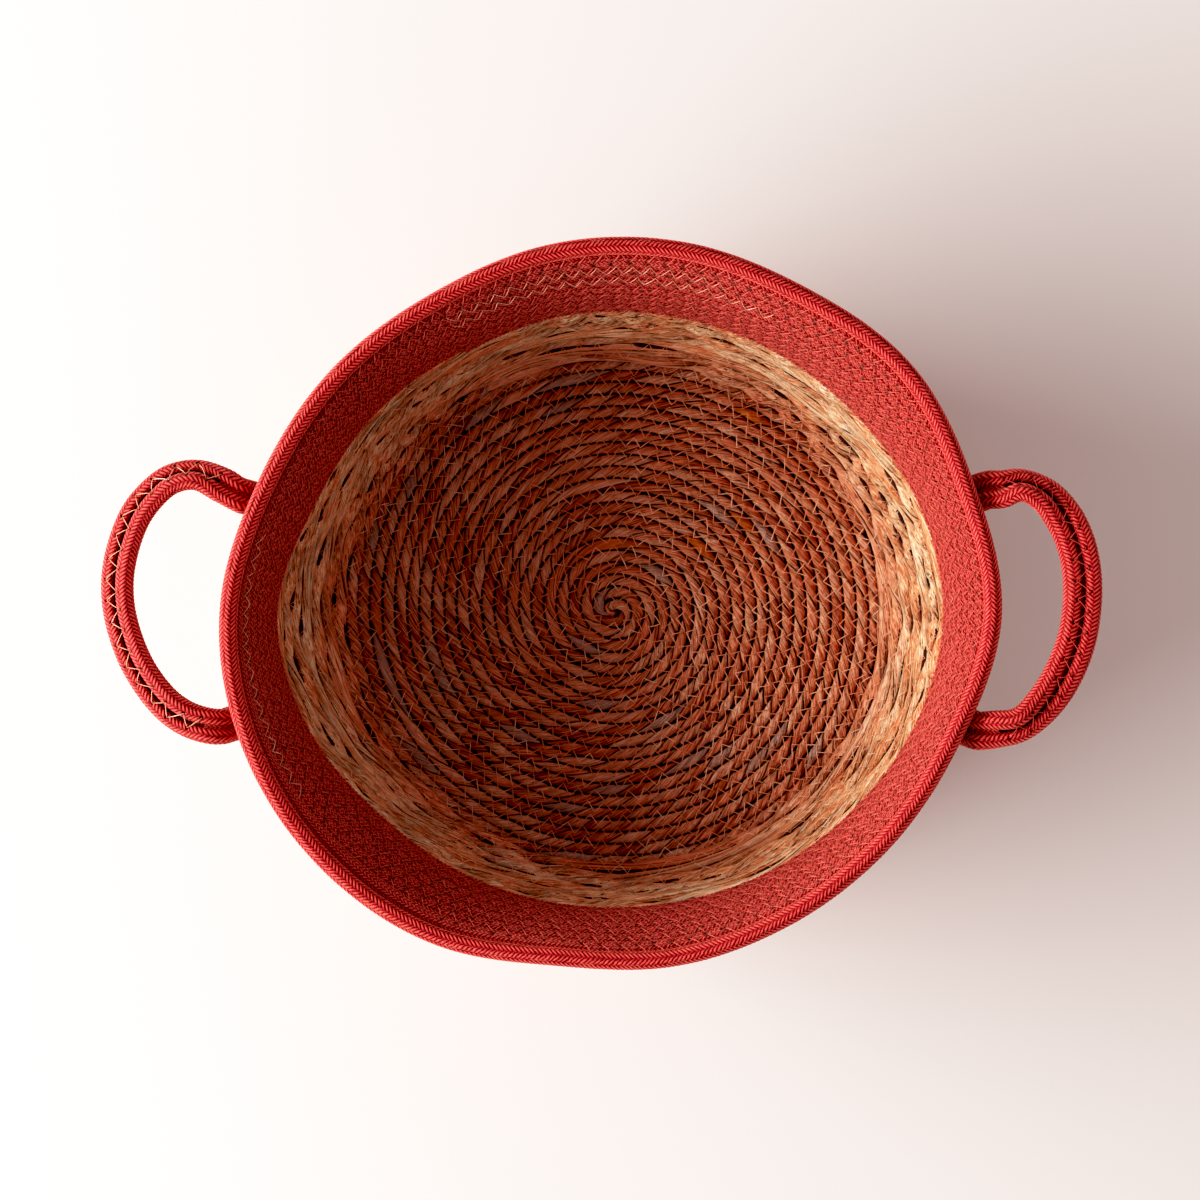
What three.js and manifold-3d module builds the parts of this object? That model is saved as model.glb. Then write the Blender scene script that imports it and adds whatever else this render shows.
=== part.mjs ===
// Round storage basket: a coiled straw bowl, a sewn cotton rope band and rim, and two doubled rope handles.
// Millimetres, +Z up, +X towards the right handle, standing on z = 0.
import * as THREE from 'three';
import { mergeVertices } from 'three/addons/utils/BufferGeometryUtils.js';
import Module from 'manifold-3d';

const { cos, sin, floor, min, PI } = Math;
const { smoothstep, degToRad } = THREE.MathUtils;

// Straw rope and the flat base that it is coiled into
const strawDiameter = 6;
const strawSqueeze = 0.2;
const baseRows = 20.75;
const baseStretch = 1.04;
const baseCentre = new THREE.Vector2(7.71, -4.94);
const baseCut = strawDiameter / 10;

// Straw wall: rows up to the first cotton row, and how far that row stands out from the base, each 20 degrees
const wallRows = 7;
const wallFlare = [32, 30, 26.5, 25.5, 25, 25, 23.5, 26, 28.5, 37, 33.5, 26.5, 24, 22, 21.5, 23, 25, 29];
const wallBelly = 0.15;

// Cotton rope and its band: rows below the rim, and how far the rim stands out from the first row, each 20 degrees
const cottonDiameter = 8;
const cottonSqueeze = 0.6;
const bandRows = 8;
const bandBelly = 0.35;
const bandLift = 0.12;
const bandFlare = [11.5, 12, 20, 18.5, 20.5, 19.5, 17.5, 16, 15, 12.5, 17, 22.5, 21, 14, 14.5, 11.5, 9.3, 7];

// The coil runs clockwise seen from above; each row lies level and climbs to the next in one sector
const startAngle = degToRad(120);
const climbShare = 1 / 3;
const ropeGap = 0.5;
const innerSteps = 12;
const outerSteps = 24;
const rimSteps = 36;
const coarseTurns = 4;

// Handles: where the ropes leave the rim, their flexing line, and the sewn ends on the band's outside
const hingeOut = 10;
const hingeDrop = 6;
const bendOut = 7;
const bendDrop = 12;
const endRows = 4.5;
const pairSpacing = cottonDiameter + ropeGap;
const handleSteps = 34;
const endSteps = 6;
const ropeSides = 8;

// Stitching thread on the handles
const threadDiameter = 0.8;
const stitchPitch = 9.5;
const stitchWidth = 7.6;

// A handle's route: out from the flexing line, along it, lift above it, and twist of the pair in degrees
const handles = [
  {
    side: 'left',
    upperRoot: degToRad(162.5),
    lowerRoot: degToRad(196),
    route: [
      [7, 56, 2.5, 10],
      [19.5, 60, 3, 42],
      [31, 57, 3.5, 38],
      [40, 48.5, 4, 20],
      [46, 38, 4.5, 5],
      [50.8, 18, 5, 0],
      [50.3, 1, 5, 0],
      [45.8, -14.5, 5, 0],
      [38.5, -29, 4.5, 0],
      [26.3, -43.5, 4, 0],
      [16, -50, 3, 0],
      [6, -52.5, 2.5, 0],
    ],
  },
  {
    side: 'right',
    upperRoot: degToRad(18.5),
    lowerRoot: degToRad(342),
    route: [
      [6, 55, 2.5, 15],
      [14.5, 57, 3, 40],
      [25, 53, 3.5, 30],
      [33.2, 44.5, 4, 10],
      [39.2, 33.5, 4.5, 0],
      [42.8, 20, 5, 0],
      [43.7, 5, 5, 0],
      [42.2, -10, 5, 0],
      [37.6, -25, 4.5, 0],
      [29.5, -39.5, 4, 12],
      [18.5, -50.5, 3.5, 30],
      [7, -53.5, 2.5, 15],
    ],
  },
];

// Sizes that follow from the ones above
const strawPitch = strawDiameter - strawSqueeze;
const cottonPitch = cottonDiameter - cottonSqueeze;
const joinPitch = (strawPitch + cottonPitch) / 2;
const strawHalf = (strawPitch - ropeGap) / 2;
const cottonHalf = (cottonPitch - ropeGap) / 2;
const ropeRadius = cottonDiameter / 2;
const baseHeight = strawDiameter / 2 - baseCut;
const wallLength = wallRows * strawPitch + joinPitch;
const bandLength = (bandRows - 1) * cottonPitch + cottonDiameter;
const wallRise = Math.sqrt(wallLength ** 2 - min(...wallFlare) ** 2);
const firstCottonRow = wallRows + 1;
const rimRow = firstCottonRow + bandRows;

// Section corners as [up the wall, towards the basket's inside]; the straw is cut flat where it lies on the table
const strawSection = [
  [-0.6 * strawHalf, -baseHeight],
  [0.6 * strawHalf, -baseHeight],
  [strawHalf, 0.1 * strawHalf],
  [0, strawDiameter / 2],
  [-strawHalf, 0.1 * strawHalf],
];
const cottonThickness = 0.92 * ropeRadius;
const cottonSection = [
  [-cottonHalf / 2, -cottonThickness],
  [cottonHalf / 2, -cottonThickness],
  [cottonHalf, 0],
  [cottonHalf / 2, cottonThickness],
  [-cottonHalf / 2, cottonThickness],
  [-cottonHalf, 0],
];
const rimSection = ropeCircle(6, ropeRadius);

// The corners of a round rope's faceted section
function ropeCircle(sides, radius) {
  return Array.from({ length: sides }, (_, i) => {
    const turn = (2 * PI * i) / sides;
    return [radius * cos(turn), radius * sin(turn)];
  });
}

// A smooth closed outline through values that stand at equal angles
function outlineAt(values, angle) {
  const place = (((angle / (2 * PI)) % 1) + 1) % 1 * values.length;
  const i = floor(place);
  const value = (k) => values[(k + values.length) % values.length];
  const [before, from, to, after] = [value(i - 1), value(i), value(i + 1), value(i + 2)];
  const t = place - i;
  const rise = (to - before) / 2;
  const fall = (after - from) / 2;
  const a = 2 * (from - to) + rise + fall;
  const b = 3 * (to - from) - 2 * rise - fall;
  return ((a * t + b) * t + rise) * t + from;
}

// Radius of the outermost base row's middle line
function baseRadius(angle) {
  const halfY = baseRows * strawPitch;
  const halfX = halfY * baseStretch;
  return 1 / Math.hypot(cos(angle) / halfX, sin(angle) / halfY);
}

// Middle of a row in the upright plane at an angle: x is the distance from the base's centre, y the height
function rowPoint(angle, row) {
  const edge = baseRadius(angle);
  if (row <= 0) return new THREE.Vector2(edge * (1 + row / baseRows), baseHeight);
  const flare = outlineAt(wallFlare, angle);
  if (row <= firstCottonRow) {
    const wall = new THREE.QuadraticBezierCurve(
      new THREE.Vector2(edge, baseHeight),
      new THREE.Vector2(edge + flare * (0.5 + wallBelly), baseHeight + wallRise * (0.5 - wallBelly)),
      new THREE.Vector2(edge + flare, baseHeight + wallRise),
    );
    const join = joinPitch / wall.getLength();
    const straw = (min(row, wallRows) / wallRows) * (1 - join);
    return wall.getPointAt(min(1, straw + Math.max(0, row - wallRows) * join));
  }
  const reach = outlineAt(bandFlare, angle);
  const climb = Math.sqrt(bandLength ** 2 - reach ** 2);
  const above = row - firstCottonRow;
  const last = Math.max(0, above - bandRows + 1);
  const share = ((above - last) * cottonPitch + last * cottonDiameter) / bandLength;
  const foot = new THREE.Vector2(edge + flare, baseHeight + wallRise);
  const band = new THREE.QuadraticBezierCurve(
    foot,
    foot.clone().add(new THREE.Vector2(reach * (0.5 - bandBelly), climb * (0.5 + bandLift))),
    foot.clone().add(new THREE.Vector2(reach, climb)),
  );
  return band.getPointAt(min(1, share));
}

// The same middle point in the basket's own frame
function placeAt(angle, point) {
  return new THREE.Vector3(
    baseCentre.x + point.x * cos(angle),
    baseCentre.y + point.x * sin(angle),
    point.y,
  );
}

// Row that the coil lies in after a number of turns: level, then climbing to the next row
function rowAfter(turns) {
  const whole = floor(turns);
  return whole + smoothstep(turns - whole, 1 - climbShare, 1);
}

function angleAfter(turns) {
  return startAngle - 2 * PI * turns;
}

// The section's corners set across the coil, with its width up the wall
function sectionAt(angle, row, section, thinning = 1) {
  const middle = rowPoint(angle, row);
  const slope = rowPoint(angle, row).sub(rowPoint(angle, row - 0.5)).normalize();
  return section.map(([up, inwards]) => {
    const x = middle.x + thinning * (up * slope.x - inwards * slope.y);
    const y = middle.y + thinning * (up * slope.y + inwards * slope.x);
    return placeAt(angle, new THREE.Vector2(x, y));
  });
}

// A closed solid from a row of sections, with flat ends
function solidFromRings(rings) {
  const corners = rings[0].length;
  const positions = rings.flat().flatMap((p) => [p.x, p.y, p.z]);
  const faces = [];
  for (let r = 0; r < rings.length - 1; r++) {
    for (let c = 0; c < corners; c++) {
      const a = r * corners + c;
      const b = r * corners + ((c + 1) % corners);
      faces.push(a, b, b + corners, a, b + corners, a + corners);
    }
  }
  const last = (rings.length - 1) * corners;
  for (let c = 1; c < corners - 1; c++) {
    faces.push(0, c + 1, c, last, last + c, last + c + 1);
  }
  const geometry = new THREE.BufferGeometry();
  geometry.setAttribute('position', new THREE.Float32BufferAttribute(positions, 3));
  geometry.setIndex(faces);
  return geometry;
}

// The turns at which a coil has a section; every turn's sections stand at the same angles
function turnsBetween(start, end) {
  const seam = ropeGap / (2 * PI * baseRows * strawPitch);
  const list = [start + seam];
  const fineFrom = coarseTurns - floor(baseRows);
  let step = floor(start * outerSteps + 1);
  while (step / outerSteps < end) {
    const turns = step / outerSteps;
    if (turns >= fineFrom || step % (outerSteps / innerSteps) === 0) list.push(turns);
    step += 1;
  }
  list.push(end);
  return list;
}

// One unbroken rope coiled through the turns; the least gap to its own neighbouring turn is printed
function coil(name, turns, ringAt) {
  const rings = turns.map(ringAt);
  const marks = [];
  rings.forEach((ring, i) => {
    const next = rings[i + 1];
    ring.forEach((p, c) => {
      marks.push({ turns: turns[i], p });
      if (next) marks.push({ turns: turns[i], p: p.clone().lerp(next[c], 0.5) });
    });
  });
  let least = Infinity;
  for (const one of marks) {
    for (const other of marks) {
      const apart = other.turns - one.turns;
      if (apart > 0.5 && apart < 1.5) least = min(least, one.p.distanceTo(other.p));
    }
  }
  console.log(`${name}: least gap to itself ${least.toFixed(2)} mm`);
  return solidFromRings(rings);
}

// Straw base: the innermost turn lies close round the centre
function strawBaseCoil() {
  const firstTurn = -floor(baseRows);
  return coil('straw_base_coil', turnsBetween(firstTurn, 1), (turns) =>
    sectionAt(angleAfter(turns), rowAfter(turns), strawSection));
}

function strawWallCoil() {
  return coil('straw_wall_coil', turnsBetween(1, firstCottonRow), (turns) =>
    sectionAt(angleAfter(turns), rowAfter(turns), strawSection));
}

// Cotton band: in its last climb the rope is thinned out between the row below and the rim
function redBandCoil() {
  const lastTurn = rimRow - 1;
  const lastClimb = rimRow - climbShare;
  return coil('red_band_coil', turnsBetween(firstCottonRow, rimRow - climbShare * 0.375), (turns) => {
    const climbed = turns > lastClimb ? rowAfter(turns) - lastTurn : 0;
    const row = turns > lastClimb ? lastTurn + climbed / 2 : rowAfter(turns);
    return sectionAt(angleAfter(turns), row, cottonSection, 1 - climbed);
  });
}

// Rim: one rope laid level on the band, its two ends meeting at a small gap
function rimRope() {
  const gapAngle = (ropeGap * 1.2) / rowPoint(startAngle, rimRow).x;
  const rings = [];
  for (let step = 0; step <= rimSteps; step++) {
    const share = step / rimSteps;
    const angle = startAngle - gapAngle / 2 - (2 * PI - gapAngle) * share;
    rings.push(sectionAt(angle, rimRow, rimSection));
  }
  console.log(`rim_rope: gap between its ends ${rings[0][0].distanceTo(rings.at(-1)[0]).toFixed(2)} mm`);
  return solidFromRings(rings);
}

// A point beside the rim at a root: out from the rim rope's middle, down from it, and along the pair's side
function besideRim(angle, out, down) {
  const rim = rowPoint(angle, rimRow);
  return placeAt(angle, new THREE.Vector2(rim.x + out, rim.y - down));
}

// The flexing line of a handle, from its lower root to its upper one
function flexLine({ upperRoot, lowerRoot }) {
  const upper = besideRim(upperRoot, hingeOut, hingeDrop);
  const lower = besideRim(lowerRoot, hingeOut, hingeDrop);
  const along = upper.clone().sub(lower).normalize();
  const middle = upper.clone().add(lower).multiplyScalar(0.5);
  const up = new THREE.Vector3(0, 0, 1);
  const out = along.clone().cross(up).normalize();
  if (out.x * middle.x < 0) out.negate();
  return { upper, lower, along, middle, out };
}

function spell(vector, digits = 2) {
  return vector.toArray().map((value) => value.toFixed(digits)).join(' ');
}

// The two ropes' middle lines, spaced side by side along the handle's route
function pairRoutes(handle) {
  const line = flexLine(handle);
  const points = handle.route.map(([out, along, lift]) =>
    line.middle.clone()
      .addScaledVector(line.out, out)
      .addScaledVector(line.along, along)
      .add(new THREE.Vector3(0, 0, lift)));
  const middle = new THREE.CatmullRomCurve3([line.upper, ...points, line.lower]);
  const twists = [0, ...handle.route.map((point) => degToRad(point[3])), 0];
  const samples = points.length + 2;
  const outer = [];
  const inner = [];
  for (let i = 0; i < samples; i++) {
    const tangent = middle.getTangent(i / (samples - 1));
    const side = sideOf(tangent, line, twists[i], i === 0 ? 1 : i === samples - 1 ? -1 : 0);
    const centre = middle.getPoint(i / (samples - 1));
    outer.push(centre.clone().addScaledVector(side, pairSpacing / 2));
    inner.push(centre.clone().addScaledVector(side, -pairSpacing / 2));
  }
  return { outer, inner };
}

// The direction from the pair's middle to its outer rope: level, twisted about the route, or on the flexing line
function sideOf(tangent, line, twist, onLine) {
  if (onLine) return line.along.clone().multiplyScalar(onLine);
  const up = new THREE.Vector3(0, 0, 1);
  const side = tangent.clone().cross(up).normalize();
  if (line.out.clone().cross(up).dot(line.along) < 0) side.negate();
  const lifted = up.clone().addScaledVector(tangent, -up.dot(tangent)).normalize();
  return side.multiplyScalar(cos(twist)).addScaledVector(lifted, -sin(twist));
}

// A round rope along a route
function ropeAlong(points, steps) {
  const corners = ropeCircle(ropeSides, ropeRadius).map(([x, y]) => new THREE.Vector2(x, y));
  const extrudePath = new THREE.CatmullRomCurve3(points);
  return new THREE.ExtrudeGeometry(new THREE.Shape(corners), { extrudePath, steps, bevelEnabled: false });
}

const wasm = await Module();
wasm.setup();

function toSolid(geometry) {
  const bare = geometry.clone();
  bare.deleteAttribute('normal');
  bare.deleteAttribute('uv');
  const merged = mergeVertices(bare);
  return new wasm.Manifold(new wasm.Mesh({
    numProp: 3,
    vertProperties: merged.getAttribute('position').array,
    triVerts: new Uint32Array(merged.index.array),
  }));
}

function toGeometry(solid) {
  const { vertProperties, triVerts } = solid.getMesh();
  const geometry = new THREE.BufferGeometry();
  geometry.setAttribute('position', new THREE.Float32BufferAttribute(vertProperties, 3));
  geometry.setIndex([...triVerts]);
  return geometry;
}

// A handle's free rope, with round ends that turn on the flexing line
function handleRope(points) {
  const ends = [points[0], points.at(-1)].map((end) => {
    const ball = new THREE.SphereGeometry(ropeRadius, ropeSides, 6);
    return toSolid(ball.translate(end.x, end.y, end.z));
  });
  return toGeometry(toSolid(ropeAlong(points, handleSteps)).add(ends[0]).add(ends[1]));
}

// A sewn rope end: up the band's outside and bent out to just short of the free rope's round end
function sewnEnd(root, free, sideways) {
  const across = new THREE.Vector3(-sin(root), cos(root), 0).multiplyScalar(sideways);
  const seat = cottonThickness + ropeRadius + ropeGap;
  const against = [rimRow - 1 - endRows, rimRow - 1 - endRows / 2].map((row) => {
    const slope = rowPoint(root, row).sub(rowPoint(root, row - 0.5)).normalize();
    const band = rowPoint(root, row).add(new THREE.Vector2(slope.y, -slope.x).multiplyScalar(seat));
    return placeAt(root, band).add(across);
  });
  const bend = besideRim(root, bendOut, bendDrop).add(across);
  const towards = free.clone().sub(bend).normalize();
  const stop = free.clone().addScaledVector(towards, -(ropeRadius + ropeGap));
  return ropeAlong([...against, bend, stop], endSteps);
}

// Zigzag thread over the pair's upper side, one unbroken line from rope to rope
function handleThread({ outer, inner }) {
  const outerCurve = new THREE.CatmullRomCurve3(outer);
  const innerCurve = new THREE.CatmullRomCurve3(inner);
  const crossings = Math.round(outerCurve.getLength() / (stitchPitch / 2)) - 4;
  const height = ropeRadius + ropeGap + threadDiameter;
  const points = [];
  for (let i = 0; i <= crossings; i++) {
    const share = (i + 2) / (crossings + 4);
    const onOuter = outerCurve.getPointAt(share);
    const onInner = innerCurve.getPointAt(share);
    const across = onOuter.clone().sub(onInner).normalize();
    const tangent = outerCurve.getTangentAt(share);
    const lift = across.clone().cross(tangent).normalize();
    if (lift.z < 0) lift.negate();
    const reach = (i % 2 === 0 ? stitchWidth : -stitchWidth) / 2;
    points.push(onOuter.lerp(onInner, 0.5).addScaledVector(across, reach).addScaledVector(lift, height));
  }
  const up = new THREE.Vector3(0, 0, 1);
  const rings = points.map((point, i) => {
    const tangent = points[min(i + 1, crossings)].clone().sub(points[Math.max(i - 1, 0)]).normalize();
    const across = tangent.clone().cross(up).normalize();
    const under = tangent.clone().cross(across).normalize();
    return ropeCircle(4, threadDiameter / 2).map(([x, y]) =>
      point.clone().addScaledVector(across, x).addScaledVector(under, y));
  });
  return solidFromRings(rings);
}

// Materials
const straw = { color: 0xb07a45, roughness: 0.85, metalness: 0 };
const baseStraw = { color: 0x9a5c34, roughness: 0.85, metalness: 0 };
const redCotton = { color: 0xb01a22, roughness: 0.9, metalness: 0 };
const rimCotton = { color: 0xc02a2a, roughness: 0.9, metalness: 0 };
const threadCotton = { color: 0xd98a80, roughness: 0.8, metalness: 0 };

function piece(name, geometry, finish) {
  const mesh = new THREE.Mesh(geometry, new THREE.MeshStandardMaterial(finish));
  mesh.name = name;
  geometry.computeVertexNormals();
  return mesh;
}

const basket = new THREE.Group();
basket.add(
  piece('straw_base_coil', strawBaseCoil(), baseStraw),
  piece('straw_wall_coil', strawWallCoil(), straw),
  piece('red_band_coil', redBandCoil(), redCotton),
  piece('rim_rope', rimRope(), rimCotton),
);

for (const handle of handles) {
  const { side, upperRoot, lowerRoot } = handle;
  const { outer, inner } = pairRoutes(handle);
  const { middle, along } = flexLine(handle);
  console.log(`${side} handle flexes about ${spell(middle)}, along ${spell(along, 5)}`);
  const beside = pairSpacing / 2;
  const turn = side === 'left' ? -1 : 1;
  basket.add(
    piece(`${side}_handle_outer_rope`, handleRope(outer), redCotton),
    piece(`${side}_handle_inner_rope`, handleRope(inner), redCotton),
    piece(`${side}_handle_thread`, handleThread({ outer, inner }), threadCotton),
    piece(`${side}_outer_upper_end`, sewnEnd(upperRoot, outer[0], beside * turn), redCotton),
    piece(`${side}_inner_upper_end`, sewnEnd(upperRoot, inner[0], -beside * turn), redCotton),
    piece(`${side}_outer_lower_end`, sewnEnd(lowerRoot, outer.at(-1), -beside * turn), redCotton),
    piece(`${side}_inner_lower_end`, sewnEnd(lowerRoot, inner.at(-1), beside * turn), redCotton),
  );
}

export default basket;
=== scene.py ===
from math import pi, radians

import bmesh
import bpy
import numpy as np
from mathutils import Matrix, Vector
from mathutils.kdtree import KDTree


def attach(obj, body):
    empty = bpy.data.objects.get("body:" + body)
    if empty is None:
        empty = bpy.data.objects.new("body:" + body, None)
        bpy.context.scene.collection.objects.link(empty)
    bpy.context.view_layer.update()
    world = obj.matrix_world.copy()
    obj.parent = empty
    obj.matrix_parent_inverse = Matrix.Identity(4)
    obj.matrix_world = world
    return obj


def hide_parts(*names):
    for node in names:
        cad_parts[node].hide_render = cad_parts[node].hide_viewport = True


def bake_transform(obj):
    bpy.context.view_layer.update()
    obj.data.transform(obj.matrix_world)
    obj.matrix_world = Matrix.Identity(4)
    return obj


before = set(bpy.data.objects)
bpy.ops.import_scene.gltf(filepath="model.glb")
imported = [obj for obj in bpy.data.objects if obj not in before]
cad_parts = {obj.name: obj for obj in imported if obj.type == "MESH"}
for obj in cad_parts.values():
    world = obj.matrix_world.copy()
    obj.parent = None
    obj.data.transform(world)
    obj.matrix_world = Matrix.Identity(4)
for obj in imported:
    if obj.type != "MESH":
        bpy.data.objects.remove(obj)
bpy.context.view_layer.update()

mm = 0.001

# The setting: the basket stands on a wide pale floor and is seen from straight above. One broad
# soft lamp hangs low on the left, a little to the front, and the air is dimmer overhead.
camera = bpy.data.objects.new("camera", bpy.data.cameras.new("camera"))
camera.data.lens = 86.67
camera.data.sensor_width = 36
camera.location = Vector((-0.04, 1.26, 1400.5)) * mm
bpy.context.scene.collection.objects.link(camera)
bpy.context.scene.camera = camera
view = bpy.context.scene.view_settings
view.view_transform = "Standard"
view.gamma = 0.85
view.use_curve_mapping = True
view.curve_mapping.black_level = (0.015, 0.015, 0.015)
view.curve_mapping.white_level = (1.6, 1.6, 1.6)
for place, value in ((0.25, 0.4), (0.42, 0.62), (0.62, 0.82), (0.82, 0.94)):
    view.curve_mapping.curves[3].points.new(place, value)
view.curve_mapping.update()


class Wire:
    """A socket of a material: a sum written with it adds the Math node that works it out."""

    def __init__(self, tree, socket=None):
        self.tree = tree
        self.socket = socket

    def node(self, kind, settings=None, values=None, take=0):
        """Adds a node, sets it, feeds it values or wires, and gives one of its outputs."""
        node = self.tree.nodes.new("ShaderNode" + kind)
        for name, value in (settings or {}).items():
            if name == "stops":
                self.place_stops(node.color_ramp.elements, value)
            else:
                setattr(node, name, value)
        for name, value in (values or {}).items():
            if isinstance(value, Wire):
                self.tree.links.new(value.socket, node.inputs[name])
            else:
                node.inputs[name].default_value = value
        return Wire(self.tree, node.outputs[take] if len(node.outputs) else None)

    def place_stops(self, elements, stops):
        while len(elements) < len(stops):
            elements.new(0.5)
        for element, (place, colour) in zip(elements, stops):
            element.position = place
            element.color = (*colour, 1)

    def other(self, name):
        """Another output of the node that this wire comes from."""
        return Wire(self.tree, self.socket.node.outputs[name])

    def math(self, operation, *values):
        return self.node("Math", {"operation": operation}, dict(enumerate(values)))

    def __add__(self, other):
        return self.math("ADD", self, other)

    __radd__ = __add__

    def __sub__(self, other):
        return self.math("SUBTRACT", self, other)

    def __rsub__(self, other):
        return self.math("SUBTRACT", other, self)

    def __mul__(self, other):
        return self.math("MULTIPLY", self, other)

    __rmul__ = __mul__

    def floor(self):
        return self.math("FLOOR", self)

    def part(self):
        """What is left of a value above the whole number below it."""
        return self.math("FRACT", self)

    def ridge(self):
        """1 where a value is halfway between whole numbers, and 0 at them."""
        return 1 - self.math("ABSOLUTE", self.part() * 2 - 1)

    def step(self, low, high):
        """0 below low, 1 above high, and a soft step between."""
        settings = {"interpolation_type": "SMOOTHSTEP"}
        return self.node("MapRange", settings, {"Value": self, "From Min": low, "From Max": high})

    def mix(self, low, high):
        """The colour from low to high, at this value between 0 and 1."""
        low, high = (c if isinstance(c, Wire) else (*c, 1) for c in (low, high))
        return self.node("Mix", {"data_type": "RGBA"}, {0: self, 6: low, 7: high}, take=2)

    def ramp(self, stops):
        return self.node("ValToRGB", {"stops": stops}, {"Fac": self})

    def noise(self, x, y=0.0, z=0.0, detail=2.0):
        place = self.node("CombineXYZ", {}, {0: x, 1: y, 2: z})
        return self.node("TexNoise", {}, {"Vector": place, "Scale": 1.0, "Detail": detail})


def cleared(owner):
    """Clears a material's or the world's nodes and gives a wire to draw new ones from."""
    owner.use_nodes = True
    owner.node_tree.nodes.clear()
    return Wire(owner.node_tree)


def new_finish(name):
    """An empty material and the directions along and round the piece, from its own UV map."""
    finish = bpy.data.materials.new(name)
    wire = cleared(finish)
    along = wire.node("SeparateXYZ", {}, {0: wire.node("UVMap", {"uv_map": "UVMap"})})
    return finish, along, along.other("Y")


def close_finish(colour, surface, height=None, depth=0.0):
    """Ends a material with its colour, its surface values and its relief."""
    values = {"Base Color": colour, **surface}
    if height is not None:
        values["Normal"] = colour.node("Bump", {}, {"Height": height, "Distance": depth})
    colour.node("OutputMaterial", {}, {"Surface": colour.node("BsdfPrincipled", {}, values)})


floor_half = 4.0
floor_sheet = bmesh.new()
bmesh.ops.create_grid(floor_sheet, x_segments=1, y_segments=1, size=floor_half)
floor_mesh = bpy.data.meshes.new("floor")
floor_sheet.to_mesh(floor_mesh)
floor_sheet.free()
floor = bpy.data.objects.new("floor", floor_mesh)
bpy.context.scene.collection.objects.link(floor)
paper = bpy.data.materials.new("pale_paper")
wire = cleared(paper)
mottle = wire.node("TexNoise", {}, {"Vector": wire.node("TexCoord", take=3), "Scale": 3.0})
paper_colour = mottle.mix((0.84, 0.815, 0.805), (0.86, 0.835, 0.825))
close_finish(paper_colour, {"Roughness": 0.9, "Specular IOR Level": 0.1})
floor_mesh.materials.append(paper)

lamp = bpy.data.objects.new("lamp", bpy.data.lights.new("lamp", "AREA"))
lamp.data.shape = "RECTANGLE"
lamp.data.size = 2.1
lamp.data.size_y = 0.8
lamp.data.energy = 138
lamp.data.color = (1.0, 0.97, 0.93)
lamp.location = (-1.8, -0.22, 0.7)
lamp_aim = Vector((0.05, 0.0, 0.05))
lamp.rotation_euler = (lamp_aim - lamp.location).to_track_quat("-Z", "Y").to_euler()
bpy.context.scene.collection.objects.link(lamp)

air = bpy.data.worlds.new("air")
wire = cleared(air)
height = wire.node("SeparateXYZ", {}, {0: wire.node("TexCoord")}, take=2)
overhead, middle, low = (0.27, 0.165, 0.15), (0.86, 0.73, 0.70), (1.8, 1.54, 1.48)
glow = height.ramp([(0.15, low), (0.5, middle), (0.85, overhead)])
wire.node("OutputWorld", {}, {"Surface": wire.node("Background", {}, {"Color": glow})})
bpy.context.scene.world = air


# Straw base: a 6 mm rope of two twisted maize-leaf strands, wound outwards from the middle into a
# flat spiral. Each turn is sewn to the one before, and the whole is pressed flat underneath. The
# coils of the wall and band go on from it, so their rows and outlines stand here too.
straw_pitch = 5.8 * mm
base_rows = 20.75
base_stretch = 1.04
base_centre = np.array([7.71, -4.94]) * mm
base_height = 2.4 * mm
start_angle = radians(120)
climb_share = 1 / 3

# Each flare is how far the wall or the band leans out, in millimetres, every 20 degrees from +X
# towards +Y. A belly or a lift is how far the curve's knee lies off its middle, as a share.
wall_rows = 7
wall_flare = [32, 30, 26.5, 25.5, 25, 25, 23.5, 26, 28.5, 37, 33.5, 26.5, 24, 22, 21.5, 23, 25, 29]
wall_belly = 0.15
cotton_diameter = 8 * mm
cotton_pitch = 7.4 * mm
band_rows = 8
band_flare = [11.5, 12, 20, 18.5, 20.5, 19.5, 17.5, 16, 15, 12.5, 17, 22.5, 21, 14, 14.5, 11.5, 9.3, 7]
band_belly = 0.35
band_lift = 0.12

join_pitch = (straw_pitch + cotton_pitch) / 2
wall_length = wall_rows * straw_pitch + join_pitch
wall_rise = (wall_length**2 - (min(wall_flare) * mm) ** 2) ** 0.5
first_cotton_row = wall_rows + 1
band_length = (band_rows - 1) * cotton_pitch + cotton_diameter
rim_row = first_cotton_row + band_rows


def smooth(share):
    share = np.clip(share, 0, 1)
    return share * share * (3 - 2 * share)


def unit(vectors):
    return vectors / np.linalg.norm(vectors, axis=-1, keepdims=True)


def outline_at(values, angle):
    """A smooth closed outline through values, in millimetres, that stand at equal angles."""
    values = np.array(values) * mm
    place = (angle / (2 * pi)) % 1 * len(values)
    i = np.floor(place).astype(int)
    before, here, after, beyond = (values[(i + k) % len(values)] for k in (-1, 0, 1, 2))
    t = place - i
    rise = (after - before) / 2
    fall = (beyond - here) / 2
    a = 2 * (here - after) + rise + fall
    b = 3 * (after - here) - 2 * rise - fall
    return ((a * t + b) * t + rise) * t + here


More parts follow.
